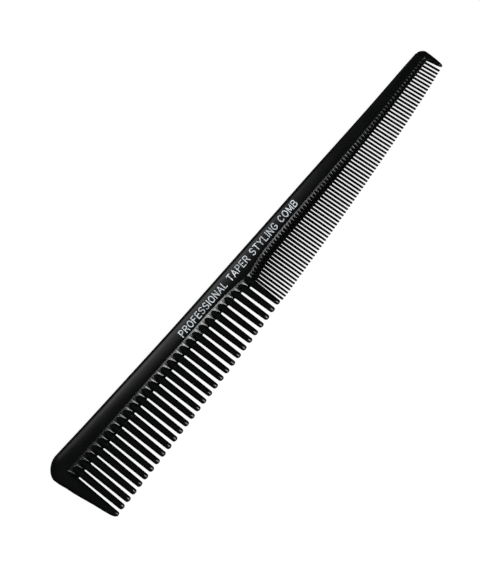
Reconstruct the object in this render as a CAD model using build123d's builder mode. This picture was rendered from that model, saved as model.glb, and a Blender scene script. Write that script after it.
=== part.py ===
"""A barber's taper comb: one black moulding with coarse teeth on one half and fine teeth on the other, and a white stamped line on the top of its spine.

Frame: millimetres. +X runs along the comb from the coarse end to the fine end, the teeth point towards -Y, +Z is up.
The origin is the centre of the comb's bounding box, so the parting plane of the moulding is z = 0.
"""

from build123d import *
import math
import os

# ---------------------------------------------------------------- overall
LENGTH = 190.0  # end to end along X
WIDTH = 28.83  # back of the spine to the tip of the coarse guard
THICK = 3.8  # spine thickness, and the comb's greatest thickness
HALF_L = LENGTH / 2
BACK_Y = WIDTH / 2
HALF_T = THICK / 2

# ---------------------------------------------------------------- teeth
COARSE_TEETH = 27
COARSE_PITCH = 3.1688
FINE_TEETH = 74
FINE_PITCH = 1.2663
COARSE_FIRST_X = -88.620  # centre of the first coarse slot where it crosses y = PIVOT_Y
PIVOT_Y = 1.549
CREST_ROOT = 3.30  # thickness of a tooth across its crest at the root
CREST_TIP = 1.70  # and at the tip
WEB_THICK = 1.00  # web left between two tooth roots

# Where the slots close, along X: the root line of the teeth.
ROOT_LINE = [
    (-91.0, 3.70), (-86.0, 3.92), (-60.0, 4.19), (-35.0, 4.42), (-15.0, 4.72), (-8.0, 4.62), (-5.0, 4.05), (-1.9, 3.05),
    (1.2, 3.45), (4.5, 4.20), (9.0, 4.75), (14.0, 5.05), (28.0, 5.38), (42.0, 5.85), (56.0, 6.68), (70.0, 7.70), (82.0, 8.78), (95.0, 9.80),
]
# Where the flat of the spine ends and the ramp down to the tooth roots begins.
RAMP_LINE = [
    (-95.5, 7.80), (-86.0, 7.90), (-60.0, 7.95), (-35.0, 7.98), (-18.0, 7.90), (-10.0, 7.60), (-5.0, 6.95), (-1.1, 6.40),
    (3.0, 7.10), (7.0, 7.75), (14.0, 8.20), (28.0, 8.55), (45.0, 9.00), (58.0, 9.50), (70.0, 10.05), (82.0, 10.85), (95.5, 11.65),
]

# ---------------------------------------------------------------- end guards
CORNER_R_COARSE = 5.2  # plan radius of the spine's corner at the coarse end
CORNER_R_FINE = 2.2
EDGE_R = 1.25  # rounding of the spine's outer edge, top and bottom
RAMP_STATIONS = (-96, -60, -18, -10, -5, -1.1, 3, 7, 14, 28, 45, 58, 70, 82, 96)
# The tips follow a shallow arch. Each table gives how far a tip stands below its straight line, by slot number.
COARSE_ARCH = [(0, 0.10), (4, 0.20), (8, 0.31), (12, 0.40), (16, 0.44), (20, 0.42), (24, 0.33), (27, 0.15)]
FINE_ARCH = [
    (0, 0.18), (4, 0.26), (8, 0.36), (14, 0.52), (20, 0.67), (26, 0.78), (32, 0.85), (38, 0.88), (44, 0.86), (50, 0.81), (56, 0.70), (62, 0.53), (66, 0.36),
    (70, 0.14), (74, -0.08),
]


def along(points, x):
    """Straight-line interpolation in a table of (x, y) points."""
    if x <= points[0][0]:
        return points[0][1]
    for (x0, y0), (x1, y1) in zip(points, points[1:]):
        if x <= x1:
            return y0 + (y1 - y0) * (x - x0) / (x1 - x0)
    return points[-1][1]


# ---------------------------------------------------------------- slots
# Each slot is a centre line x(y), with a width that grows towards the tips.
def coarse_slot(i):
    """Centre x at PIVOT_Y, lean dx/d(-y), width at PIVOT_Y, width gained per mm towards the tips, y of the closed end, y of the tips."""
    centre = COARSE_FIRST_X + COARSE_PITCH * i
    lean = 0.03945 + 1.2217e-3 * i + 2.12e-5 * i * i
    width = along([(0, 0.60), (4, 0.65), (8, 0.735), (12, 0.775), (16, 0.81), (20, 0.85), (24, 0.89), (27, 0.88)], i)
    grow = along([(0, 0.039), (12, 0.043), (27, 0.050)], i)
    tips = -14.15 + 0.2475 * i - along(COARSE_ARCH, i)
    return centre, lean, width, grow, along(ROOT_LINE, centre), tips


def fine_slot(j):
    """The same for a fine slot; 0 is the narrow one beside the divider."""
    if j == 0:
        return -0.157, 0.074, 0.16, 0.058, 0.95, -7.45
    mid_y = 4.890 - (20.456 - 0.27496 * j - 0.0010263 * j * j) * 0.334166
    mid_x = (11.4347 + 3.78946 * j - 4.553e-4 * j * j - 11.41) * 0.334166
    lean = 0.09173 + 1.8849e-3 * j - 3.02e-5 * j * j + 3.746e-7 * j ** 3
    centre = mid_x + lean * (mid_y - PIVOT_Y)
    width = along([(1, 0.36), (8, 0.44), (20, 0.50), (40, 0.55), (56, 0.60), (74, 0.66)], j)
    grow = along([(1, 0.034), (20, 0.025), (40, 0.016), (56, 0.010), (74, 0.004)], j)
    root_x = centre - lean * (along(ROOT_LINE, centre) - PIVOT_Y)
    tips = -7.40 + 0.155 * j + 2.9e-5 * j * j - along(FINE_ARCH, j)
    return centre, lean, width, grow, along(ROOT_LINE, root_x), tips


def slot_side(slot, y, side):
    """x of a slot's side at height y: side -1 is the side nearer the coarse end."""
    centre, lean, width, grow, root, tips = slot
    d = PIVOT_Y - y
    return centre + lean * d + side * 0.5 * max(width + grow * d, 0.10)


coarse_slots = [coarse_slot(i) for i in range(COARSE_TEETH + 1)]
fine_slots = [fine_slot(j) for j in range(FINE_TEETH + 1)]
slots = coarse_slots + fine_slots


def outer_coarse(y):
    """Outer edge of the coarse guard."""
    return along([(-14.5, -90.1), (-13.2, -90.85), (-11.8, -91.3), (-8.0, -92.1), (-3.5, -93.1), (0.0, -93.75), (2.2, -94.1), (4.9, -94.6), (9.5, -95.0)], y)


def outer_fine(y):
    """Outer edge of the fine guard."""
    return along([(4.6, 94.75), (6.6, 95.0), (9.5, 94.9), (11.2, 94.7)], y)


def tooth_solid(left, right, root, tip, crest_root, crest_tip, sink):
    """One tooth: elliptic cross-sections lofted from inside the ramp to a rounded tip. left(y) and right(y) are its sides in plan."""
    end_r = min(0.9, 0.55 * (right(tip + 0.5) - left(tip + 0.5)))
    levels = [(root + sink, 1.0), (root - 0.6, 1.0), (0.5 * (root + tip), 1.0)]
    levels += [(tip + end_r * (1 - math.sin(a)), math.cos(a)) for a in (0.0, 0.62, 1.05, 1.36)]
    with BuildPart() as tooth:
        for y, scale in levels:
            f = min(max((root - y) / (root - tip), 0.0), 1.0)
            x0, x1 = left(y), right(y)
            crest = crest_root + (crest_tip - crest_root) * f
            with BuildSketch(Plane(origin=(0.5 * (x0 + x1), y, 0), x_dir=(1, 0, 0), z_dir=(0, -1, 0))):
                Ellipse(0.5 * (x1 - x0) * scale, 0.5 * crest * scale)
        loft(ruled=True)
    return tooth.part


teeth = []
for n in range(len(slots) - 1):
    a, b = slots[n], slots[n + 1]
    is_coarse = n < COARSE_TEETH
    is_divider = n == COARSE_TEETH
    root = 0.5 * (a[4] + b[4]) if not is_divider else 3.1
    tip = 0.5 * (a[5] + b[5]) - 0.17 if not is_divider else -7.65

    def left(y, a=a):
        return slot_side(a, min(y, a[4] - 0.3), 1) - (max(y - a[4] + 0.3, 0.0)) * a[1]

    def right(y, b=b):
        return slot_side(b, min(y, b[4] - 0.3), -1) - (max(y - b[4] + 0.3, 0.0)) * b[1]

    sink = 2.4 if is_coarse or is_divider else 1.6
    crest_tip = CREST_TIP if is_coarse or is_divider else along([(28, 1.75), (102, 2.3)], n)
    teeth.append(tooth_solid(left, right, root, tip, CREST_ROOT, crest_tip, sink))

# The two guards: the outer teeth, much wider at the root than the others.
with BuildPart() as coarse_guard:
    for y, x0, x1, t in (
        (4.6, -94.55, -88.85, 3.30), (0.0, -93.75, -89.0, 3.1), (-6.0, -92.5, -88.83, 2.6), (-11.8, -91.3, -88.78, 2.0),
        (-13.4, -90.75, -88.95, 1.7), (-14.1, -90.35, -89.3, 1.2), (-14.415, -90.05, -89.6, 0.6),
    ):
        with BuildSketch(Plane(origin=(0.5 * (x0 + x1), y, 0), x_dir=(1, 0, 0), z_dir=(0, -1, 0))):
            Ellipse(0.5 * (x1 - x0), 0.5 * t)
    loft(ruled=True)
with BuildPart() as fine_guard:
    for y, x0, x1, t in (
        (10.0, 92.55, 94.9, 3.3), (8.6, 92.95, 95.0, 3.2), (6.6, 93.6, 95.0, 2.9), (5.3, 93.98, 94.95, 2.4), (4.85, 94.2, 94.72, 1.8), (4.66, 94.35, 94.55, 0.8),
    ):
        with BuildSketch(Plane(origin=(0.5 * (x0 + x1), y, 0), x_dir=(1, 0, 0), z_dir=(0, -1, 0))):
            Ellipse(0.5 * (x1 - x0), 0.5 * t)
    loft(ruled=True)

# ---------------------------------------------------------------- spine
# Plan outline of the spine with the web that carries the tooth roots. The back is almost straight, with a slight hollow in its middle.
BACK_LINE = [(-89.5, BACK_Y), (-70.0, 14.14), (-45.0, 13.80), (-20.0, 13.60), (0.0, 13.68), (25.0, 13.74), (50.0, 13.76), (72.0, 13.76), (89.0, 13.98), (92.4, 13.80)]
with BuildPart() as spine:
    with BuildSketch(Plane.XY.offset(-HALF_T)) as plan:
        with BuildLine() as outline:
            back = Spline(*BACK_LINE)
            fine_corner = Spline(BACK_LINE[-1], (94.35, 12.4), (94.9, 10.0), tangents=[back % 1, (0.05, -1)])
            fine_side = Line((94.9, 10.0), (94.9, along(ROOT_LINE, 94.9)))
            web = Polyline((94.9, along(ROOT_LINE, 94.9)), *[(x, along(ROOT_LINE, x)) for x in (88, 82, 70, 56, 42, 28, 14, 9, 4.5, 1.2, -1.9, -5, -8, -15, -35, -60, -86)], (-94.55, 4.0))
            coarse_side = Spline((-94.55, 4.0), (-94.86, 6.8), (-95.0, 9.5))
            coarse_corner = Spline((-95.0, 9.5), (-93.4, 12.75), BACK_LINE[0], tangents=[(0.1, 1), back % 0])
        make_face()
    extrude(amount=THICK)

    # Round the outer edge, top and bottom, along the back and both ends.
    rim = [e for e in spine.part.edges() if abs(abs(e.center().Z) - HALF_T) < 1e-3 and (e.center().Y > 9.6 or abs(e.center().X) > 94)]
    fillet(rim, EDGE_R)

    # Ramps: on each face a wedge is cut away between the flat of the spine and the tooth roots.
    for side in (1, -1):
        for x in RAMP_STATIONS:
            flat_y, root_y = along(RAMP_LINE, x), along(ROOT_LINE, x)
            with BuildSketch(Plane(origin=(x, 0, 0), x_dir=(0, 1, 0), z_dir=(1, 0, 0))):
                with BuildLine():
                    Polyline(
                        (flat_y, side * HALF_T), (flat_y, side * (HALF_T + 1)), (root_y - 3, side * (HALF_T + 1)),
                        (root_y - 3, side * WEB_THICK / 2), (root_y + 0.8, side * WEB_THICK / 2), close=True,
                    )
                make_face()
        loft(ruled=True, mode=Mode.SUBTRACT)

# ---------------------------------------------------------------- the moulding
with BuildPart() as comb_body:
    add(spine.part)
    add([*teeth, coarse_guard.part, fine_guard.part])
comb_body.part.label = "comb_body"

# ---------------------------------------------------------------- stamped line
# Block capitals drawn with round strokes on a grid 4 wide and 6 high. Each stroke is a chain of grid points.
def bow(cx, cy, rx, ry, start, end, steps):
    """Points of an elliptic arc, from one angle to another in degrees."""
    angles = [math.radians(start + (end - start) * n / steps) for n in range(steps + 1)]
    return [(cx + rx * math.cos(a), cy + ry * math.sin(a)) for a in angles]


STROKES = {
    "A": [[(0, 0), (2, 6), (4, 0)], [(0.7, 1.9), (3.3, 1.9)]],
    "B": [[(2.2, 3.2), (0.2, 3.2), (0.2, 6), *bow(2.4, 4.6, 1.3, 1.4, 90, -90, 6)], [(0.2, 3.2), (0.2, 0), *bow(2.3, 1.6, 1.6, 1.6, -90, 90, 7)]],
    "C": [bow(2.1, 3, 2.0, 3.0, 42, 318, 14)],
    "E": [[(3.8, 6), (0.2, 6), (0.2, 0), (3.9, 0)], [(0.2, 3.15), (3.5, 3.15)]],
    "F": [[(3.8, 6), (0.2, 6), (0.2, 0)], [(0.2, 3.05), (3.3, 3.05)]],
    "G": [[*bow(2.1, 3, 2.0, 3.0, 42, 318, 14), (3.95, 1.0), (3.95, 2.8), (2.4, 2.8)]],
    "I": [[(2, 0), (2, 6)]],
    "L": [[(0.2, 6), (0.2, 0), (3.8, 0)]],
    "M": [[(0.1, 0), (0.1, 6), (2.0, 0.9), (3.9, 6), (3.9, 0)]],
    "N": [[(0.2, 0), (0.2, 6), (3.8, 0), (3.8, 6)]],
    "O": [bow(2.0, 3, 2.0, 3.0, 90, 450, 18)],
    "P": [[(0.2, 0), (0.2, 6), *bow(2.3, 4.4, 1.6, 1.6, 90, -90, 7), (0.2, 2.8)]],
    "R": [[(0.2, 0), (0.2, 6), *bow(2.3, 4.45, 1.5, 1.55, 90, -90, 7), (0.2, 2.9)], [(2.2, 2.9), (3.9, 0)]],
    "S": [[*bow(2.0, 4.5, 1.75, 1.5, 25, 255, 9), *bow(1.95, 1.55, 1.95, 1.55, 82, -150, 10)]],
    "T": [[(0, 6), (4, 6)], [(2, 6), (2, 0)]],
    "Y": [[(0, 6), (2, 3.0), (4, 6)], [(2, 3.0), (2, 0)]],
}
GLYPH_WIDTHS = {" ": 1.5, "I": 0.3, "M": 4.7, "O": 4.3, "G": 4.2, "C": 4.1, "N": 3.9, "A": 4.2, "E": 3.4, "F": 3.2, "L": 3.1, "S": 3.7, "T": 3.8, "P": 3.6, "R": 3.8, "B": 3.7, "Y": 4.1}
LINE_TEXT = "PROFESSIONAL TAPER STYLING COMB"
CAP_HEIGHT = 2.62
STROKE = 0.33
TEXT_START = (-30.7, 8.67)  # lower left corner of the first letter
TEXT_LENGTH = 59.0
TEXT_LEAN = 0.017  # the line rises slightly, as the spine's flat does
FOIL = 0.03  # foil thickness standing proud of the plastic
GAP = 1.75  # between letters, in grid units

units = sum(GLYPH_WIDTHS[c] for c in LINE_TEXT) + GAP * (len(LINE_TEXT) - 1)
unit_x = (TEXT_LENGTH - STROKE) / units
unit_y = (CAP_HEIGHT - STROKE) / 6.0
with BuildPart() as stamped_print:
    pen = 0.0
    for ch in LINE_TEXT:
        wide = GLYPH_WIDTHS[ch]
        if ch != " ":
            with BuildSketch(Plane.XY.offset(HALF_T)):
                for chain in STROKES[ch]:
                    pts = []
                    for px, py in chain:
                        run = (pen + (wide / 2 if ch == "I" else px * wide / 4)) * unit_x
                        pts.append((TEXT_START[0] + STROKE / 2 + run, TEXT_START[1] + STROKE / 2 + py * unit_y + TEXT_LEAN * run))
                    for p, q in zip(pts, pts[1:]):
                        with Locations(Location(((p[0] + q[0]) / 2, (p[1] + q[1]) / 2, 0), (0, 0, math.degrees(math.atan2(q[1] - p[1], q[0] - p[0]))))):
                            SlotOverall(math.dist(p, q) + STROKE, STROKE)
            extrude(amount=FOIL)
        pen += wide + GAP
stamped_print.part.label = "stamped_print"

os.makedirs("parts", exist_ok=True)
export_step(comb_body.part, "parts/comb_body.step")
export_step(stamped_print.part, "parts/stamped_print.step")
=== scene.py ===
"""Barber's taper comb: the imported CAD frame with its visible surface, finish, light and camera. Lengths in the tables are millimetres."""

import math

import bmesh
import bpy
import numpy as np
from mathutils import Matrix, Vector


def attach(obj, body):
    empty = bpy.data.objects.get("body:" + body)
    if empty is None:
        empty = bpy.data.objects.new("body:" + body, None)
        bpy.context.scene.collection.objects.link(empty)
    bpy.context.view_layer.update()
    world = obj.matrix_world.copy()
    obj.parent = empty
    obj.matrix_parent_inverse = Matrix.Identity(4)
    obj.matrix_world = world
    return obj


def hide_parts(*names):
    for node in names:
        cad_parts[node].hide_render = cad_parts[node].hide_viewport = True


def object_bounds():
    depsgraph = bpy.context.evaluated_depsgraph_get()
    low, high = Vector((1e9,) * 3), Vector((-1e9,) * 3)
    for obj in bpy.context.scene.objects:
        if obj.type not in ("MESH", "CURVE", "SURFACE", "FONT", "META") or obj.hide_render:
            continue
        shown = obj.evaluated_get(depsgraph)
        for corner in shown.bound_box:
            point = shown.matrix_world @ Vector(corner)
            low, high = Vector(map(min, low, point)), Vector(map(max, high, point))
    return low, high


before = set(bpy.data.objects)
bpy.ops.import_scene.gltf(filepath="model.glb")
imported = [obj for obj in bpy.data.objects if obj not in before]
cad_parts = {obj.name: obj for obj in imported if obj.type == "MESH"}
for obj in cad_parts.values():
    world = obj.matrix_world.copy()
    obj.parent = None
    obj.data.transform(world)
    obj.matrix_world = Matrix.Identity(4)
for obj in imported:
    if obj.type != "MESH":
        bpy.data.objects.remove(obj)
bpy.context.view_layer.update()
MM = 0.001

# ------------------------------------------------------------------ plan of the comb
HALF_T = 1.9
PIVOT_Y = 1.549
ROOT_LINE = [
    (-95.0, 3.95), (-89.0, 3.60), (-86.0, 3.88), (-60.0, 4.13), (-35.0, 4.42), (-15.0, 4.72), (-8.0, 4.60), (-4.9, 4.00), (-1.9, 2.85),
    (0.8, 3.25), (1.9, 3.70), (4.5, 4.35), (9.0, 4.90), (14.0, 5.13), (28.0, 5.47), (42.0, 5.95), (56.0, 6.75), (62.0, 7.18), (70.0, 7.66), (82.0, 8.76), (95.0, 9.80),
]
RAMP_LINE = [
    (-95.5, 7.82), (-86.0, 7.90), (-60.0, 8.00), (-45.0, 8.02), (-35.0, 7.96), (-18.0, 7.92), (-11.0, 7.70), (-6.0, 7.18), (-3.0, 6.75), (-1.1, 6.55), (0.6, 6.65),
    (3.0, 7.15), (7.0, 7.85), (14.0, 8.30), (28.0, 8.69), (38.0, 8.88), (45.0, 8.97), (58.0, 9.23), (70.0, 9.74), (82.0, 10.55), (95.5, 11.42),
]
BACK = [
    (-88.8, 14.40), (-88.0, 14.39), (-85.0, 14.34), (-82.0, 14.26), (-79.0, 14.18), (-76.0, 14.10), (-70.0, 14.01), (-64.0, 13.93), (-58.0, 13.86), (-52.0, 13.78),
    (-46.0, 13.70), (-40.0, 13.64), (-34.0, 13.585), (-28.0, 13.55), (-22.0, 13.55), (-16.0, 13.57), (-10.0, 13.60), (-4.0, 13.63), (2.0, 13.64), (14.0, 13.65),
    (20.0, 13.67), (26.0, 13.71), (32.0, 13.745), (38.0, 13.77), (44.0, 13.755), (50.0, 13.74), (56.0, 13.715), (62.0, 13.705), (68.0, 13.73), (74.0, 13.78),
    (80.0, 13.87), (86.5, 13.96),
]
# From the widest point of the coarse end, round its corner to the back.
COARSE_CORNER = [
    (-95.09, 9.46), (-94.95, 10.05), (-94.71, 10.62), (-94.41, 11.15), (-94.08, 11.62), (-93.71, 12.05), (-93.28, 12.47), (-92.85, 12.83),
    (-92.37, 13.18), (-91.85, 13.50), (-91.29, 13.77), (-90.70, 14.01), (-90.10, 14.19), (-89.51, 14.33), (-88.80, 14.40),
]
FINE_CORNER = [
    (86.50, 13.96), (87.70, 14.00), (88.70, 13.98), (89.60, 13.91), (90.40, 13.82), (91.20, 13.79), (91.95, 13.80), (92.51, 13.77), (93.04, 13.62), (93.49, 13.37),
    (93.90, 13.03), (94.25, 12.66), (94.54, 12.25), (94.71, 11.80), (94.79, 11.29), (94.85, 10.70), (94.91, 10.10),
]
COARSE_SIDE = [  # (y, x), tip to corner
    (-14.42, -90.09), (-14.2, -90.34), (-13.9, -90.55), (-13.2, -90.89), (-12.34, -91.15), (-11.47, -91.36), (-10.59, -91.54), (-9.06, -91.81), (-7.3, -92.11),
    (-5.54, -92.46), (-3.78, -92.83), (-2.03, -93.21), (-0.28, -93.60), (0.7, -93.79), (1.5, -93.94), (2.4, -94.07), (3.25, -94.17), (4.14, -94.29), (5.0, -94.45),
    (5.9, -94.66), (6.8, -94.84), (7.7, -94.96), (8.6, -95.04), (9.46, -95.09),
]
FINE_SIDE = [(4.4, 94.62), (4.55, 94.86), (4.75, 95.0), (5.0, 95.04), (5.3, 95.06), (5.9, 95.09), (6.6, 95.09), (7.5, 95.07), (8.3, 95.03), (9.3, 94.96), (10.1, 94.91)]
COARSE_N, FINE_N = 27, 74


def dense(points, step=0.25, blur=5, by=0):
    """A table resampled finely and softened, so that its corners don't show as facets."""
    p = np.array(points, float)
    x = np.arange(p[0, 0], p[-1, 0] + step, step)
    y = np.interp(x, p[:, 0], p[:, 1])
    k = np.hanning(2 * blur + 3)[1:-1]
    k /= k.sum()
    pad = np.concatenate([2 * y[0] - y[blur:0:-1], y, 2 * y[-1] - y[-2 : -blur - 2 : -1]])
    return x, np.convolve(pad, k, "valid")


root_x, root_y = dense(ROOT_LINE, blur=5)
ramp_x, ramp_y = dense(RAMP_LINE, blur=6)
back_x, back_y = dense(BACK, step=0.5, blur=8)


def root_line(x):
    return np.interp(x, root_x, root_y)


def ramp_line(x):
    return np.interp(x, ramp_x, ramp_y)


def back_line(x):
    return np.interp(x, back_x, back_y)


def tab(points, x):
    xs, ys = zip(*points)
    return float(np.interp(x, xs, ys))


# The tips follow a shallow arch: how far each stands below a straight line, by slot number.
COARSE_ARCH = [(0, -0.02), (1, 0.18), (4, 0.27), (8, 0.38), (12, 0.47), (16, 0.51), (20, 0.49), (24, 0.40), (27, 0.18)]
FINE_ARCH = [
    (0, 0.24), (4, 0.34), (8, 0.44), (14, 0.60), (20, 0.75), (26, 0.86), (32, 0.93), (38, 0.96), (44, 0.94), (50, 0.89), (56, 0.78), (62, 0.61), (66, 0.44),
    (70, 0.20), (74, -0.08),
]


# Each slot: centre x at PIVOT_Y, lean, width there, growth towards the tips, y of its closed end, y of the tip line, length of its round end.
def coarse_slot(i):
    c = -88.615 + 3.1688 * i
    lean = 0.03945 + 1.2217e-3 * i + 2.12e-5 * i * i
    w = tab([(0, 0.50), (4, 0.545), (8, 0.635), (12, 0.665), (16, 0.71), (20, 0.74), (24, 0.79), (27, 0.72)], i)
    g = tab([(0, 0.027), (12, 0.032), (27, 0.043)], i)
    return dict(c=c, lean=lean, w=w, g=g, root=float(root_line(c)), tip=-14.15 + 0.2475 * i - tab(COARSE_ARCH, i), r=0.36)


def fine_slot(j):
    if j == 0:
        return dict(c=-0.20, lean=0.070, w=0.10, g=0.046, root=3.3, tip=-7.45, r=1.5)
    my = 4.890 - (20.456 - 0.27496 * j - 0.0010263 * j * j) * 0.334166
    mx = (11.4347 + 3.78946 * j - 4.553e-4 * j * j - 11.41) * 0.334166
    lean = 0.09173 + 1.8849e-3 * j - 3.02e-5 * j * j + 3.746e-7 * j**3
    c = mx + lean * (my - PIVOT_Y)
    w = tab([(1, 0.25), (8, 0.30), (20, 0.375), (40, 0.435), (50, 0.49), (60, 0.48), (73, 0.50), (74, 0.43)], j)
    g = tab([(1, 0.034), (20, 0.025), (40, 0.016), (56, 0.010), (74, 0.004)], j)
    rx = c - lean * (float(root_line(c)) - PIVOT_Y)
    return dict(c=c, lean=lean, w=w, g=g, root=float(root_line(rx)), tip=-7.40 + 0.155 * j + 2.9e-5 * j * j - tab(FINE_ARCH, j), r=0.34)


slots = [coarse_slot(i) for i in range(COARSE_N + 1)] + [fine_slot(j) for j in range(FINE_N + 1)]
N_STRIPS = len(slots) + 1


def half_gap(s, y):
    """Half the width of a slot at y, closing in a round end at its top."""
    d = np.maximum(s["root"] - y, 0.0)
    full = 0.5 * np.maximum(s["w"] + s["g"] * (PIVOT_Y - y), 0.10)
    q = np.clip(d / s["r"], 0, 1)
    return full * np.sqrt(np.clip(1 - (1 - q) ** 2.2, 0, 1))


def centre_line(s, y):
    return s["c"] + s["lean"] * (PIVOT_Y - y)


def side_table(points):
    p = np.array(points)
    return lambda y: np.interp(y, p[:, 0], p[:, 1])


coarse_side, fine_side = side_table(COARSE_SIDE), side_table(FINE_SIDE)


# How much more the last slot opens on the fine guard's side, by y.
FINE_INNER = ([4.4, 5.12, 5.76, 6.87, 7.63, 8.55, 9.2, 9.6], [0.60, 0.38, 0.29, 0.21, 0.15, 0.09, 0.04, 0.0])


def kind_of(k):
    if k == 0:
        return "coarse_guard"
    if k <= COARSE_N:
        return "coarse"
    if k == COARSE_N + 1:
        return "divider"
    if k == N_STRIPS - 1:
        return "fine_guard"
    return "fine"


COLS = {"coarse_guard": 18, "coarse": 14, "divider": 12, "fine": 8, "fine_guard": 12}
SECTION = {"coarse": 2.4, "divider": 2.4, "fine": 2.5, "coarse_guard": 2.4, "fine_guard": 2.3}  # superellipse powers
HEAD_SECTION = {"coarse": 2.25, "divider": 2.25, "fine": 1.6, "coarse_guard": 2.4, "fine_guard": 2.3}

# ------------------------------------------------------------------ outline, for the rounding of the rim
outline = [(x, y) for y, x in COARSE_SIDE[:-1]]
outline += COARSE_CORNER[:-1]
outline += list(zip(back_x[back_x > -88.8], back_y[back_x > -88.8]))
outline = [p for p in outline if p[0] < 86.5] + FINE_CORNER + [(x, y) for y, x in FINE_SIDE[-2::-1]]
outline = np.array(outline)
seg_a, seg_b = outline[:-1], outline[1:]


def rim_distance(x, y):
    """Distance to the comb's outer edge, along the back and round both ends."""
    p = np.stack([x.ravel(), y.ravel()], 1)
    out = np.full(len(p), 1e9)
    ab = seg_b - seg_a
    l2 = (ab**2).sum(1)
    for a, d, n in zip(seg_a, ab, l2):
        t = np.clip(((p - a) @ d) / n, 0, 1)
        out = np.minimum(out, np.hypot(*(p - a - t[:, None] * d).T))
    return out.reshape(x.shape)


def face_height(d):
    """Half thickness of the spine at a distance from the rim: a round edge, then a long shallow crown."""
    q = np.clip(1 - d / 0.9, 0, 1)
    edge = 1.45 * np.clip(1 - q**2.2, 0, 1) ** (1 / 2.2)
    crown = 0.45 * (1 - (1 - np.clip(d, 0, 5.2) / 5.2) ** 2.1)
    return edge + crown


def ramp_height(t):
    """Half thickness of the scooped ramp, t below the spine's lower edge."""
    return HALF_T - 0.03 - 0.53 * t + 0.02 * t * np.abs(t)


def smin(a, b, k):
    h = np.clip(0.5 + 0.5 * (b - a) / k, 0, 1)
    return b * (1 - h) + a * h - k * h * (1 - h)


def smax(a, b, k):
    return -smin(-a, -b, k)


# ------------------------------------------------------------------ tooth shapes
def head_top(k):
    """Half thickness a tooth's head would reach at the spine's lower edge."""
    if kind_of(k) != "fine":
        return 1.93 if kind_of(k) == "divider" else 1.70
    return tab([(1, 1.70), (6, 1.72), (30, 1.74), (42, 1.80), (48, 1.90), (54, 1.97), (95, 2.00)], slots[k - 1]["c"])


def root_height(k):
    """Half thickness on a tooth's crest at its root."""
    if kind_of(k) != "fine":
        return 1.52
    return tab([(1, 1.50), (45, 1.50), (60, 1.57), (75, 1.63), (84, 1.68), (95, 1.71)], slots[k - 1]["c"])


def crest_height(k, y, root, tip):
    """Half thickness on a tooth's crest below its root, before its tip rounds off."""
    kind = kind_of(k)
    f = np.clip((root - y) / (root - tip), 0, 1)
    if kind == "coarse" or kind == "divider":
        return 1.52 - 0.66 * f
    if kind == "fine":
        end = tab([(29, 0.86), (102, 1.06)], k)
        return root_height(k) - (root_height(k) - end) * f
    t = np.clip((y - tip) / (5.5 - tip if kind == "coarse_guard" else 11.0 - tip), 0, 1)
    t = t * t * (3 - 2 * t) * 0.45 + t * 0.55
    return (0.80 + 1.10 * t) if kind == "coarse_guard" else (1.0 + 0.90 * t)


def section(k, s):
    """A tooth's cross-section, from 0 at its sides to 1 on its crest."""
    p = SECTION[kind_of(k)]
    return np.clip(1 - np.abs(s) ** p, 0, 1) ** (1 / p)


def strip_sides(k):
    """Left and right sides of a tooth in plan, with the y where each slot beside it closes."""
    if k == 0:
        s = slots[0]
        return coarse_side, (lambda y: centre_line(s, y) - half_gap(s, y)), 4.05, s["root"]
    if k == N_STRIPS - 1:
        s = slots[-1]
        return (lambda y: centre_line(s, y) + half_gap(s, y) + np.interp(y, *FINE_INNER)), fine_side, s["root"], 10.0
    a, b = slots[k - 1], slots[k]
    return (lambda y: centre_line(a, y) + half_gap(a, y)), (lambda y: centre_line(b, y) - half_gap(b, y)), a["root"], b["root"]


def strip_tip(k):
    if k == 0:
        return -14.62
    if k == N_STRIPS - 1:
        return 4.38
    if k == COARSE_N + 1:
        return -7.60
    return 0.5 * (slots[k - 1]["tip"] + slots[k]["tip"]) - 0.17


# ------------------------------------------------------------------ the mesh
verts, flags = [], []  # flags: True where the top and bottom sheets meet


def add(x, y, z, edge):
    verts.append((x, y, z))
    flags.append(edge)
    return len(verts) - 1


faces = []
cols_t = {k: np.linspace(-1, 1, COLS[kind_of(k)] + 1) for k in range(N_STRIPS)}

# Row 0 runs through the closed ends of the slots and is shared by the teeth below it and the spine above it.
row0 = []  # (strip, s, x, y)
border_index = [0]
for k in range(N_STRIPS):
    left, right, ra, rb = strip_sides(k)
    t = cols_t[k]
    s = np.sin(0.5 * math.pi * t)
    y = ra + (rb - ra) * (t + 1) / 2
    xl, xr = float(left(ra)), float(right(rb))
    x = 0.5 * (xl + xr) + 0.5 * (xr - xl) * s
    for j in range(len(t)):
        if j == 0 and k > 0:
            continue
        row0.append((k, s[j], x[j], y[j]))
    border_index.append(len(row0) - 1)
col_x = np.array([c[2] for c in row0])
col_y = np.array([c[3] for c in row0])
col_k = np.array([c[0] for c in row0])
col_s = np.array([c[1] for c in row0])
n_col = len(row0)
is_border = np.zeros(n_col, bool)
is_border[border_index[1:-1]] = True  # columns that start at a slot's closed end
col_lean = np.zeros(n_col)
for k in range(N_STRIPS):
    a, b = border_index[k], border_index[k + 1]
    la = slots[k - 1]["lean"] if k > 0 else 0.0
    lb = slots[k]["lean"] if k < len(slots) else 0.0
    col_lean[a : b + 1] = np.linspace(la, lb, b - a + 1)

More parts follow.
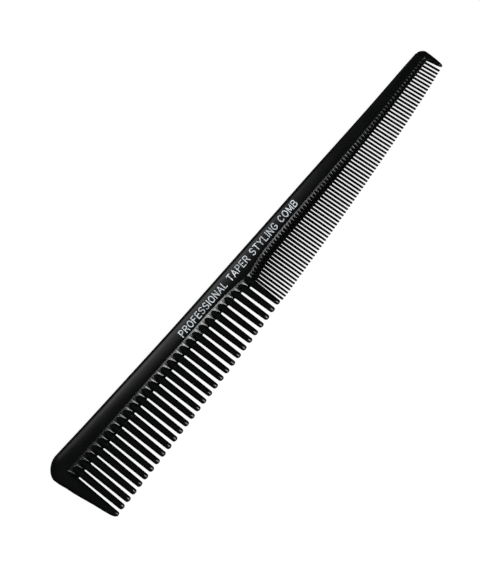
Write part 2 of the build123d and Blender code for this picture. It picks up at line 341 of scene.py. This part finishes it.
# Above row 0 the heads of the teeth run up into a scooped ramp. Each column meets it at its own height, y_meet, and rows gather there and
# along the spine's lower edge so that both stay crisp.
WEB_R = 0.40
web = [0.03, 0.12, 0.29, 0.6, 1.0]
N_LOW, N_RAMP, N_EDGE, N_FACE, N_RIM = 3, 3, 6, 4, 6
y_ramp = ramp_line(col_x - col_lean * (ramp_line(col_x) - col_y))
x_up = col_x - col_lean * (y_ramp - col_y)
y_back = back_line(x_up)
col_kind = np.array([kind_of(k) for k in col_k])
fine_col = np.isin(col_kind, ("fine", "fine_guard"))
col_low = np.array([SECTION[n] for n in col_kind])
col_high = np.array([HEAD_SECTION[n] for n in col_kind])
col_high[(col_kind == "divider") & (col_s > 0)] = 4.5  # the divider is squarer on the side of the fine teeth
col_root_z = np.array([root_height(k) for k in col_k])
col_top_z = np.array([head_top(k) for k in col_k])
col_half = np.array([0.5 * (col_x[border_index[k + 1]] - col_x[border_index[k]]) for k in col_k])
saddle = np.interp(col_x, [-95, -12, -3, -1, 6, 30, 50, 60, 70, 80, 95], [0.50, 0.50, 0.56, 1.00, 1.12, 1.02, 1.00, 1.12, 1.26, 1.36, 1.50])
side_gap = (1 - np.abs(col_s)) * col_half
hollow_w = np.where(fine_col, 0.24, np.interp(col_x, [-77, -67, -57, -45], [0.15, 0.18, 0.22, 0.25]))
hollow_k = np.where(fine_col, 0.52, np.interp(col_x, [-77, -67, -57, -45], [1.20, 0.90, 0.66, 0.60]))
valley = hollow_k * hollow_w**2 * (1 - np.exp(-(side_gap**2) / (2 * hollow_w**2)))  # the web between two heads is slightly hollow
GUARD = np.isin(col_kind, ("coarse_guard", "fine_guard"))
valley[GUARD] = 0


def scooped(t):
    """Half thickness of the ramp and of the hollows that run down from it between the heads."""
    f = np.clip((t - 0.10) / np.interp(col_x, [-90, -60, -40], [0.40, 0.60, 1.00]), 0, 1)
    return ramp_height(t) + valley * f * f * (3 - 2 * f)


def rise(up):
    """How the web rounds up from the parting plane at a slot's closed end."""
    q = np.clip(up / WEB_R, 0, 1)
    return np.sqrt(np.clip(1 - (1 - q) ** 2, 0, 1))


def head_height(y):
    """Half thickness of the heads and of the web between them, one value per column."""
    up = y - col_y
    c = col_root_z + (col_top_z - col_root_z) * np.clip(up / (y_ramp - col_y), 0, 1.15)
    b = saddle * rise(up)
    p = col_high + (col_low - col_high) * np.clip(1 - up / 0.8, 0, 1)
    s = np.clip(np.abs(col_s) / (1 - np.where(fine_col, 0, 0.12) * np.clip(up, 0, 1)), 0, 1)  # the coarse heads leave a narrow floor between them
    sec = np.clip(1 - s**p, 0, 1) ** (1 / p)
    wave = np.cos(0.5 * math.pi * np.abs(col_s) ** np.interp(col_x, [0, 45, 60], [2.0, 1.9, 1.3]))  # the fine heads flow into one another
    sec = np.where(fine_col, sec + (wave - sec) * np.clip(up / 0.8, 0, 1), sec)
    web = np.where(fine_col, 1.0, np.abs(col_s) ** 3)
    return np.sqrt(c**2 * sec**2 + b**2 * (1 - sec**2) * web)


base = col_y + WEB_R
lo_y, hi_y = base + 0.06, y_ramp - 0.06
for _ in range(30):
    mid = 0.5 * (lo_y + hi_y)
    above = scooped(ramp_line(col_x - col_lean * (mid - col_y)) - mid) > head_height(mid)
    lo_y, hi_y = np.where(above, lo_y, mid), np.where(above, mid, hi_y)
y_meet = 0.5 * (lo_y + hi_y)
low_z, high_z = y_meet - base, y_ramp - y_meet
o_lo, o_hi = np.minimum(0.20, 0.45 * low_z), np.minimum(0.20, 0.35 * high_z)
e_lo = np.minimum(0.26, 0.40 * high_z)
rows = [col_y.copy()]
for w in web:
    rows.append(col_y + WEB_R * w)
for i in range(1, N_LOW + 1):
    rows.append(base + (low_z - o_lo) * i / N_LOW)
rows += [y_meet - 0.45 * o_lo, y_meet, y_meet + 0.45 * o_hi, y_meet + o_hi]
for i in range(1, N_RAMP + 1):
    rows.append(y_meet + o_hi + (high_z - o_hi - e_lo) * i / N_RAMP)
for i in range(1, N_EDGE + 1):
    rows.append(y_ramp - e_lo + (e_lo + 0.24) * i / N_EDGE)
for i in range(1, N_FACE + 1):
    rows.append(y_ramp + 0.24 + (y_back - 1.0 - y_ramp - 0.24) * i / N_FACE)
for i in range(1, N_RIM + 1):
    rows.append(y_back - 1.0 + 1.0 * math.sin(0.5 * math.pi * i / N_RIM))
Y = np.array(rows)
X = np.empty_like(Y)
for i in range(len(rows)):
    up = np.clip(Y[i] - col_y, 0, None)
    lim = y_ramp - col_y
    soft = np.where(up < lim, up, lim + 0.5 * (1 - np.exp(-(up - lim) / 0.5)))
    X[i] = col_x - col_lean * soft
n_row = len(rows)

# The two ends: each guard's block is a patch between its outer side, the corner, the first slot's column and row 0.
lam = (Y - Y[0]) / (Y[-1] - Y[0])


def resample(points, n, power=1.0):
    p = np.array(points, float)
    d = np.concatenate([[0], np.cumsum(np.hypot(*np.diff(p, axis=0).T))])
    u = np.linspace(0, 1, n) ** power * d[-1]
    return np.stack([np.interp(u, d, p[:, 0]), np.interp(u, d, p[:, 1])], 1)


def patch(c0, c1, outer_side, top, outer_first):
    """Coons patch over columns c0..c1; outer_side holds one point per row, top one point per column."""
    m = c1 - c0
    inner = c1 if outer_first else c0
    inner_pts = np.stack([X[:, inner], Y[:, inner]], 1)
    bottom = np.stack([col_x[c0 : c1 + 1], col_y[c0 : c1 + 1]], 1)
    L, R = (outer_side, inner_pts) if outer_first else (inner_pts, outer_side)
    mu = np.linspace(0, 1, m + 1)[None, :, None]
    la = lam[:, inner][:, None, None]
    P = (1 - mu) * L[:, None] + mu * R[:, None] + (1 - la) * bottom[None] + la * top[None]
    P -= (1 - mu) * (1 - la) * bottom[0] + mu * (1 - la) * bottom[-1] + (1 - mu) * la * top[0] + mu * la * top[-1]
    X[:, c0 : c1 + 1], Y[:, c0 : c1 + 1] = P[..., 0], P[..., 1]


c1 = border_index[1]
side_y = 4.05 + (9.46 - 4.05) * lam[:, c1]
outer = np.stack([coarse_side(side_y), side_y], 1)
top = resample(COARSE_CORNER + [(x, y) for x, y in zip(back_x, back_y) if -88.8 < x < X[-1, c1]] + [(X[-1, c1], Y[-1, c1])], c1 + 1)
patch(0, c1, outer, top, True)
c0 = border_index[-2]
side_y = 10.0 + (10.1 - 10.0) * lam[:, c0]
end_pts = [(X[-1, c0], Y[-1, c0])] + [p for p in [(x, y) for x, y in zip(back_x, back_y)] + FINE_CORNER[1:] if p[0] > X[-1, c0] + 0.05]
outer = np.stack([fine_side(side_y), side_y], 1)
top = resample(end_pts, n_col - c0)
patch(c0, n_col - 1, outer, top, False)

# Heights over the spine, ramps and tooth roots.
D = rim_distance(X, Y)
face = face_height(D)
up = Y - col_y[None, :]
ramp = scooped(ramp_line(X) - Y)
b_edge = saddle * rise(up)
H = head_height(Y)
for k in (0, N_STRIPS - 1):
    sl = slice(border_index[k], border_index[k + 1] + 1)
    s = np.sin(0.5 * math.pi * cols_t[k])[None, :]
    c = crest_height(k, Y[:, sl], float(np.mean(col_y[sl])), strip_tip(k))
    g = c / 1.9 * face[:, sl]
    inner = np.clip(s if k == 0 else -s, 0, 1)
    rel = np.clip(1 - inner**3, 0, 1) ** (1 / 2.4)
    H[:, sl] = np.sqrt((g * rel) ** 2 + b_edge[:, sl] ** 2 * (1 - rel**2) * inner**3)
    if k == 0:
        ramp[:, sl] += 4.0 * np.clip(0.90 - s, 0, 1)
slope = smin(face, ramp, 0.08)
slope = np.where(GUARD, slope, slope * rise(up))
blend_k = np.where(fine_col, 0.04, 0.045)
H = smax(H, np.clip(slope, -5, None), blend_k)
H = np.minimum(H, np.maximum(face, 0))
# A slot's closed end lies on the parting plane, and so does the whole rim.
for c in np.flatnonzero(is_border):
    H[:, c] = np.where(up[:, c] < WEB_R, b_edge[:, c], H[:, c])
H[0, is_border] = 0
H[-1, :] = 0
H[:, 0] = 0
H[:, -1] = 0
index = np.empty((n_row, n_col), int)
for i in range(n_row):
    for c in range(n_col):
        edge = (i == 0 and is_border[c]) or i == n_row - 1 or c in (0, n_col - 1)
        index[i, c] = add(X[i, c], Y[i, c], H[i, c], edge)
for i in range(n_row - 1):
    for c in range(n_col - 1):
        faces.append((index[i, c], index[i, c + 1], index[i + 1, c + 1], index[i + 1, c]))

# The teeth, from row 0 down to their tips.
for k in range(N_STRIPS):
    left, right, ra, rb = strip_sides(k)
    kind = kind_of(k)
    tip = strip_tip(k)
    t = cols_t[k]
    s = np.sin(0.5 * math.pi * t)
    ytop = ra + (rb - ra) * (t + 1) / 2
    big = kind in ("coarse", "divider", "coarse_guard")
    r_plan = 0.92 if big else 0.30
    if kind == "coarse_guard":
        r_plan = 0.75
    if kind == "fine_guard":
        r_plan = 0.40
    r_z = {"coarse": 2.3, "divider": 2.0, "coarse_guard": 2.4, "fine": 0.85, "fine_guard": 1.1}[kind]
    depth = 0.42
    levels = [("d", depth * v) for v in (0.03, 0.12, 0.29, 0.6, 1.0)]
    n_mid = 7 if big else 5
    levels += [("m", v / n_mid) for v in range(1, n_mid)]
    levels += [("t", r_z * v) for v in ((1.0, 0.76, 0.54, 0.37, 0.235, 0.13, 0.055, 0.013) if big else (1.0, 0.68, 0.42, 0.23, 0.12, 0.05, 0.012))]
    a = border_index[k]
    prev = [index[0, a + j] for j in range(len(t))]
    root = float(np.mean([ra, rb]))
    for what, v in levels:
        if what == "d":
            y = ytop - v
        elif what == "m":
            y = (ytop - depth) + (tip + r_z - (ytop - depth)) * v
        else:
            y = np.full_like(ytop, tip + v)
        yy = y
        lx = np.array([float(left(q)) for q in yy])
        rx = np.array([float(right(q)) for q in yy])
        e = np.clip((yy - tip) / r_plan, 0, 1)
        wide = np.clip(1 - (1 - e) ** 2.3, 0, 1) ** (1 / 2.3)
        ez = np.clip((yy - tip) / r_z, 0, 1)
        tall = np.sqrt(np.clip(1 - (1 - ez) ** 2, 0, 1))
        mid = 0.5 * (lx + rx)
        if kind == "coarse_guard":
            mid = mid + (-89.72 - mid) * (1 - wide)
        x = mid + 0.5 * (rx - lx) * s * wide
        c = crest_height(k, yy, root, tip)
        h = c * section(k, s)
        if kind in ("coarse_guard", "fine_guard"):
            d = rim_distance(x, yy)
            g = c / 1.9 * face_height(d)
            inner = np.clip(s if kind == "coarse_guard" else -s, 0, 1)
            rel = np.clip(1 - inner**3, 0, 1) ** (1 / 2.4)
            blend = np.clip((yy - (tip + 1.0)) / 5.0, 0, 1)
            h = (1 - blend) * h + blend * g * rel
        h = h * tall
        h[0] = h[-1] = 0.0
        row = [add(x[j], yy[j], h[j], j in (0, len(t) - 1)) for j in range(len(t))]
        for j in range(len(t) - 1):
            faces.append((row[j], row[j + 1], prev[j + 1], prev[j]))
        prev = row
    ax = -89.72 if kind == "coarse_guard" else 0.5 * (float(left(tip)) + float(right(tip)))
    apex = add(ax, tip, 0.0, True)
    for j in range(len(t) - 1):
        faces.append((apex, prev[j + 1], prev[j]))

V = np.array(verts)
flags = np.array(flags)
under = np.arange(len(V))
under[~flags] = len(V) + np.arange((~flags).sum())
lower = V[~flags] * (1, 1, -1)
points = np.vstack([V, lower]) * MM
all_faces = [tuple(int(i) for i in f) for f in faces] + [tuple(int(under[i]) for i in reversed(f)) for f in faces]
mesh = bpy.data.meshes.new("comb_moulding")
mesh.from_pydata([tuple(p) for p in points], [], all_faces)
mesh.validate()
mesh.update()
comb = bpy.data.objects.new("comb_moulding", mesh)
bpy.context.scene.collection.objects.link(comb)
for p in mesh.polygons:
    p.use_smooth = True
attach(comb, "root")
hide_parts("comb_body")
print("comb mesh", len(mesh.vertices), "vertices", len(mesh.polygons), "faces", sum(len(p.vertices) - 2 for p in mesh.polygons), "triangles")

# ------------------------------------------------------------------ the stamped line, laid on the crown of the spine
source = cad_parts["stamped_print"]
bm = bmesh.new()
bm.from_mesh(source.data)
bmesh.ops.remove_doubles(bm, verts=bm.verts, dist=1e-6)
for _ in range(3):
    long_edges = [e for e in bm.edges if e.calc_length() > 0.55 * MM]
    if not long_edges:
        break
    bmesh.ops.subdivide_edges(bm, edges=long_edges, cuts=1, use_grid_fill=False)
    bmesh.ops.triangulate(bm, faces=bm.faces)
co = np.array([v.co for v in bm.verts]) / MM
base_z = co[:, 2].min()
surf = face_height(rim_distance(co[:, 0], co[:, 1]))
foil = co[:, 2] - base_z
for v, z, f in zip(bm.verts, surf, foil):
    v.co.z = (z + (0.028 if f > 0.015 else -0.02)) * MM
foil_mesh = bpy.data.meshes.new("foil_line")
bm.to_mesh(foil_mesh)
bm.free()
foil_line = bpy.data.objects.new("foil_line", foil_mesh)
bpy.context.scene.collection.objects.link(foil_line)
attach(foil_line, "root")
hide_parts("stamped_print")


# ------------------------------------------------------------------ materials
def material(name):
    m = bpy.data.materials.new(name)
    m.use_nodes = True
    m.node_tree.nodes.clear()
    return m, m.node_tree.nodes, m.node_tree.links


def node(nodes, kind, **values):
    n = nodes.new(kind)
    for key, v in values.items():
        if key in n.inputs.keys():
            n.inputs[key].default_value = v
        else:
            setattr(n, key, v)
    return n


plastic, N, L = material("black_moulded_plastic")
out = node(N, "ShaderNodeOutputMaterial")
bsdf = node(N, "ShaderNodeBsdfPrincipled")
coord = node(N, "ShaderNodeTexCoord")
grain = node(N, "ShaderNodeTexNoise", Scale=2600.0, Detail=3.0, Roughness=0.6)
flow_map = node(N, "ShaderNodeMapping")
flow_map.inputs["Scale"].default_value = (60.0, 420.0, 420.0)
flow = node(N, "ShaderNodeTexNoise", Scale=1.0, Detail=4.0, Roughness=0.55)
smudge = node(N, "ShaderNodeTexNoise", Scale=90.0, Detail=5.0, Roughness=0.6)
scr_map = node(N, "ShaderNodeMapping")
scr_map.inputs["Scale"].default_value = (35.0, 2400.0, 900.0)
scr_map.inputs["Rotation"].default_value = (0, 0, math.radians(4))
scratch = node(N, "ShaderNodeTexNoise", Scale=1.0, Detail=2.0, Roughness=0.5)
scr_ramp = node(N, "ShaderNodeValToRGB")
scr_ramp.color_ramp.elements[0].position = 0.66
scr_ramp.color_ramp.elements[1].position = 0.74
for tex, src in ((grain, coord), (smudge, coord)):
    L.new(src.outputs["Object"], tex.inputs["Vector"])
L.new(coord.outputs["Object"], flow_map.inputs["Vector"])
L.new(flow_map.outputs["Vector"], flow.inputs["Vector"])
L.new(coord.outputs["Object"], scr_map.inputs["Vector"])
L.new(scr_map.outputs["Vector"], scratch.inputs["Vector"])
L.new(scratch.outputs["Fac"], scr_ramp.inputs["Fac"])
tone = node(N, "ShaderNodeMix", data_type="RGBA")
tone.inputs["A"].default_value = (0.0010, 0.0012, 0.0012, 1)
tone.inputs["B"].default_value = (0.0022, 0.0026, 0.0026, 1)
L.new(flow.outputs["Fac"], tone.inputs["Factor"])
L.new(tone.outputs["Result"], bsdf.inputs["Base Color"])
rough = node(N, "ShaderNodeMapRange")
rough.inputs["From Min"].default_value = 0.3
rough.inputs["From Max"].default_value = 0.7
rough.inputs["To Min"].default_value = 0.14
rough.inputs["To Max"].default_value = 0.20
L.new(smudge.outputs["Fac"], rough.inputs["Value"])
rough_add = node(N, "ShaderNodeMath", operation="MULTIPLY_ADD")
rough_add.inputs[1].default_value = 0.10
L.new(scr_ramp.outputs["Color"], rough_add.inputs[0])
L.new(rough.outputs["Result"], rough_add.inputs[2])
L.new(rough_add.outputs["Value"], bsdf.inputs["Roughness"])
mix_h = node(N, "ShaderNodeMath", operation="MULTIPLY_ADD")
mix_h.inputs[1].default_value = -0.35
L.new(scr_ramp.outputs["Color"], mix_h.inputs[0])
L.new(grain.outputs["Fac"], mix_h.inputs[2])
bump = node(N, "ShaderNodeBump", Strength=0.06, Distance=0.00002)
L.new(mix_h.outputs["Value"], bump.inputs["Height"])
L.new(bump.outputs["Normal"], bsdf.inputs["Normal"])
bsdf.inputs["IOR"].default_value = 1.50
L.new(bsdf.outputs["BSDF"], out.inputs["Surface"])
mesh.materials.append(plastic)

foil_mat, N, L = material("white_stamped_foil")
out = node(N, "ShaderNodeOutputMaterial")
bsdf = node(N, "ShaderNodeBsdfPrincipled")
coord = node(N, "ShaderNodeTexCoord")
speck = node(N, "ShaderNodeTexNoise", Scale=1500.0, Detail=4.0, Roughness=0.65)
wear = node(N, "ShaderNodeTexNoise", Scale=260.0, Detail=3.0, Roughness=0.6)
for tex in (speck, wear):
    L.new(coord.outputs["Object"], tex.inputs["Vector"])
ramp_n = node(N, "ShaderNodeValToRGB")
ramp_n.color_ramp.elements[0].position = 0.34
ramp_n.color_ramp.elements[0].color = (0.20, 0.23, 0.26, 1)
ramp_n.color_ramp.elements[1].position = 0.60
ramp_n.color_ramp.elements[1].color = (0.80, 0.86, 0.90, 1)
blend = node(N, "ShaderNodeMix", data_type="FLOAT")
blend.inputs["Factor"].default_value = 0.5
L.new(speck.outputs["Fac"], blend.inputs["A"])
L.new(wear.outputs["Fac"], blend.inputs["B"])
L.new(blend.outputs["Result"], ramp_n.inputs["Fac"])
L.new(ramp_n.outputs["Color"], bsdf.inputs["Base Color"])
bsdf.inputs["Roughness"].default_value = 0.42
bump = node(N, "ShaderNodeBump", Strength=0.2, Distance=0.00001)
L.new(speck.outputs["Fac"], bump.inputs["Height"])
L.new(bump.outputs["Normal"], bsdf.inputs["Normal"])
L.new(bsdf.outputs["BSDF"], out.inputs["Surface"])
foil_mesh.materials.append(foil_mat)

# ------------------------------------------------------------------ floor, light and camera
lo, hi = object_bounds()
floor_z = lo.z
S = 3.0
fm = bpy.data.meshes.new("floor")
fm.from_pydata([(-S, -S, floor_z), (S, -S, floor_z), (S, S, floor_z), (-S, S, floor_z)], [], [(0, 1, 2, 3)])
floor = bpy.data.objects.new("floor", fm)
bpy.context.scene.collection.objects.link(floor)
floor_mat, N, L = material("pale_floor")
out = node(N, "ShaderNodeOutputMaterial")
diff = node(N, "ShaderNodeBsdfDiffuse")
diff.inputs["Color"].default_value = (0.18, 0.18, 0.18, 1)
emit = node(N, "ShaderNodeEmission")
emit.inputs["Color"].default_value = (1, 1, 1, 1)
path = node(N, "ShaderNodeLightPath")
power = node(N, "ShaderNodeMath", operation="MULTIPLY")
power.inputs[1].default_value = 0.89
L.new(path.outputs["Is Camera Ray"], power.inputs[0])
L.new(power.outputs["Value"], emit.inputs["Strength"])
addn = node(N, "ShaderNodeAddShader")
dim = node(N, "ShaderNodeBsdfDiffuse")
dim.inputs["Color"].default_value = (0.03, 0.03, 0.03, 1)
swap = node(N, "ShaderNodeMixShader")  # the floor stays out of the plastic's reflections, as on a lit sheet seen from above
L.new(path.outputs["Is Glossy Ray"], swap.inputs["Fac"])
L.new(diff.outputs["BSDF"], swap.inputs[1])
L.new(dim.outputs["BSDF"], swap.inputs[2])
L.new(swap.outputs["Shader"], addn.inputs[0])
L.new(emit.outputs["Emission"], addn.inputs[1])
L.new(addn.outputs["Shader"], out.inputs["Surface"])
fm.materials.append(floor_mat)
side = node(N, "ShaderNodeNewGeometry")
clear = node(N, "ShaderNodeBsdfTransparent")
mirror_view = node(N, "ShaderNodeMath", operation="MULTIPLY")  # 1 only for what the plastic reflects when it is looked at through the sheet
L.new(path.outputs["Is Glossy Ray"], mirror_view.inputs[0])
L.new(path.outputs["Transparent Depth"], mirror_view.inputs[1])
facing = node(N, "ShaderNodeSeparateXYZ")
L.new(side.outputs["Incoming"], facing.inputs["Vector"])
across = node(N, "ShaderNodeMath", operation="ABSOLUTE")
L.new(facing.outputs["Y"], across.inputs[0])
# painted reflection: seen from below, the floor glows grey in the plastic's reflections, brighter for rays running
# along Y, standing in for a wall that is not there
painted_wall_reflection = node(N, "ShaderNodeMapRange")
for key, v in (("From Min", 0.10), ("From Max", 0.75), ("To Min", 0.10), ("To Max", 1.1)):
    painted_wall_reflection.inputs[key].default_value = v
L.new(across.outputs["Value"], painted_wall_reflection.inputs["Value"])
below = node(N, "ShaderNodeMath", operation="MULTIPLY")
L.new(mirror_view.outputs["Value"], below.inputs[0])
L.new(painted_wall_reflection.outputs["Result"], below.inputs[1])
# the floor's emission that paints this reflection onto the underside
reflection_glow = node(N, "ShaderNodeEmission")
L.new(below.outputs["Value"], reflection_glow.inputs["Strength"])
sheet = node(N, "ShaderNodeAddShader")
L.new(addn.outputs["Shader"], sheet.inputs[0])
L.new(reflection_glow.outputs["Emission"], sheet.inputs[1])
open_below = node(N, "ShaderNodeMixShader")  # seen from underneath, the sheet doesn't hide the comb
L.new(side.outputs["Backfacing"], open_below.inputs["Fac"])
L.new(sheet.outputs["Shader"], open_below.inputs[1])
L.new(clear.outputs["BSDF"], open_below.inputs[2])
L.new(open_below.outputs["Shader"], out.inputs["Surface"])

world = bpy.data.worlds.new("studio")
bpy.context.scene.world = world
world.use_nodes = True
WN, WL = world.node_tree.nodes, world.node_tree.links
WN.clear()
wout = WN.new("ShaderNodeOutputWorld")
bg = WN.new("ShaderNodeBackground")
bg.inputs["Color"].default_value = (1, 1, 1, 1)
wpath = WN.new("ShaderNodeLightPath")
geo = WN.new("ShaderNodeTexCoord")
sep = WN.new("ShaderNodeSeparateXYZ")
WL.new(geo.outputs["Generated"], sep.inputs["Vector"])


def wmath(op, a, b=None):
    n = WN.new("ShaderNodeMath")
    n.operation = op
    for i, v in enumerate((a, b)):
        if v is None:
            continue
        if isinstance(v, (int, float)):
            n.inputs[i].default_value = v
        else:
            WL.new(v, n.inputs[i])
    return n.outputs["Value"]


# The room: dim overhead, nearly dark to left and right, and a soft grey wall low in front and behind.
yy = wmath("MULTIPLY", sep.outputs["Y"], sep.outputs["Y"])
zz = wmath("MULTIPLY", sep.outputs["Z"], sep.outputs["Z"])
share = wmath("DIVIDE", yy, wmath("MAXIMUM", wmath("SUBTRACT", 1.0, zz), 0.02))
wall = wmath("MULTIPLY_ADD", share, 0.14)
wall.node.inputs[2].default_value = 0.02
horizon = WN.new("ShaderNodeMapRange")
horizon.inputs["From Min"].default_value = 0.45
horizon.inputs["From Max"].default_value = 0.85
horizon.inputs["To Min"].default_value = 0.0
horizon.inputs["To Max"].default_value = 1.0
WL.new(sep.outputs["Z"], horizon.inputs["Value"])
room = WN.new("ShaderNodeMix")
room.data_type = "FLOAT"
room.inputs["B"].default_value = 0.032
WL.new(horizon.outputs["Result"], room.inputs["Factor"])
WL.new(wall, room.inputs["A"])
pick = WN.new("ShaderNodeMix")
pick.data_type = "FLOAT"
pick.inputs["B"].default_value = 0.92
WL.new(wpath.outputs["Is Camera Ray"], pick.inputs["Factor"])
WL.new(room.outputs["Result"], pick.inputs["A"])
WL.new(pick.outputs["Result"], bg.inputs["Strength"])
WL.new(bg.outputs["Background"], wout.inputs["Surface"])


def softbox(name, at, tilt, size_x, size_y, radiance, glossy=True):
    """A rectangular softbox at a place, leaning by tilt degrees about X from straight down. radiance sets how bright its face is."""
    light = bpy.data.lights.new(name, "AREA")
    light.shape = "RECTANGLE"
    light.size, light.size_y = size_x, size_y
    light.energy = radiance * 4 * size_x * size_y
    o = bpy.data.objects.new(name, light)
    bpy.context.scene.collection.objects.link(o)
    o.location = at
    o.rotation_euler = (math.radians(tilt), 0, 0)
    o.visible_camera = False
    o.visible_glossy = glossy
    return o


def on_arc(x, angle, r):
    """A point r from the comb, angle degrees from straight up towards +Y."""
    a = math.radians(angle)
    return (x, 0.006 + r * math.sin(a), r * math.cos(a))


for i, (a0, a1, x0, x1, radiance) in enumerate([(14.5, 32, -0.097, 0.030, 1.30), (9, 14.5, -0.075, 0.030, 0.55), (4.5, 9, -0.060, 0.028, 0.28)]):
    y0, y1 = 0.006 + 0.5 * math.tan(math.radians(a0)), 0.006 + 0.5 * math.tan(math.radians(a1))
    softbox(f"back_softbox_{i}", (0.5 * (x0 + x1), 0.5 * (y0 + y1), 0.50), 0, x1 - x0, y1 - y0, radiance)
softbox("front_softbox", on_arc(-0.003, -44, 0.50), 44, 0.042, 0.29, 13.5)
softbox("front_softbox_coarse", on_arc(-0.041, -44, 0.50), 44, 0.034, 0.29, 0.8)
softbox("front_softbox_fine", on_arc(0.105, -44, 0.50), 44, 0.060, 0.29, 1.5)
softbox("end_softbox", (-0.20, 0.0, 0.50), 0, 0.18, 0.14, 0.035)
softbox("fill", (0.0, 0.0, 1.2), 0, 2.0, 2.0, 1.1, glossy=False)

cam_data = bpy.data.cameras.new("camera")
cam_data.type = "PERSP"
cam_data.sensor_fit = "VERTICAL"
cam_data.sensor_height = 36.0
cam_data.lens = 400.0
px = 0.334166 * MM
height = 580 * px
distance = height * cam_data.lens / 36.0
cam = bpy.data.objects.new("camera", cam_data)
bpy.context.scene.collection.objects.link(cam)
ang = math.radians(-48.3)
ca, sa = math.cos(ang), math.sin(ang)
dx, dy = 240.0 - 245.0, 290.0 - 285.0
u = ca * dx + sa * dy
v = -sa * dx + ca * dy
cam.location = ((u - 11.41) * px + 0.03 * MM, (14.635 - v) * px + 0.16 * MM, distance)
cam.rotation_euler = (0, 0, ang)
cam_data.clip_end = 50.0
bpy.context.scene.camera = cam
bpy.context.scene.view_settings.view_transform = "Standard"
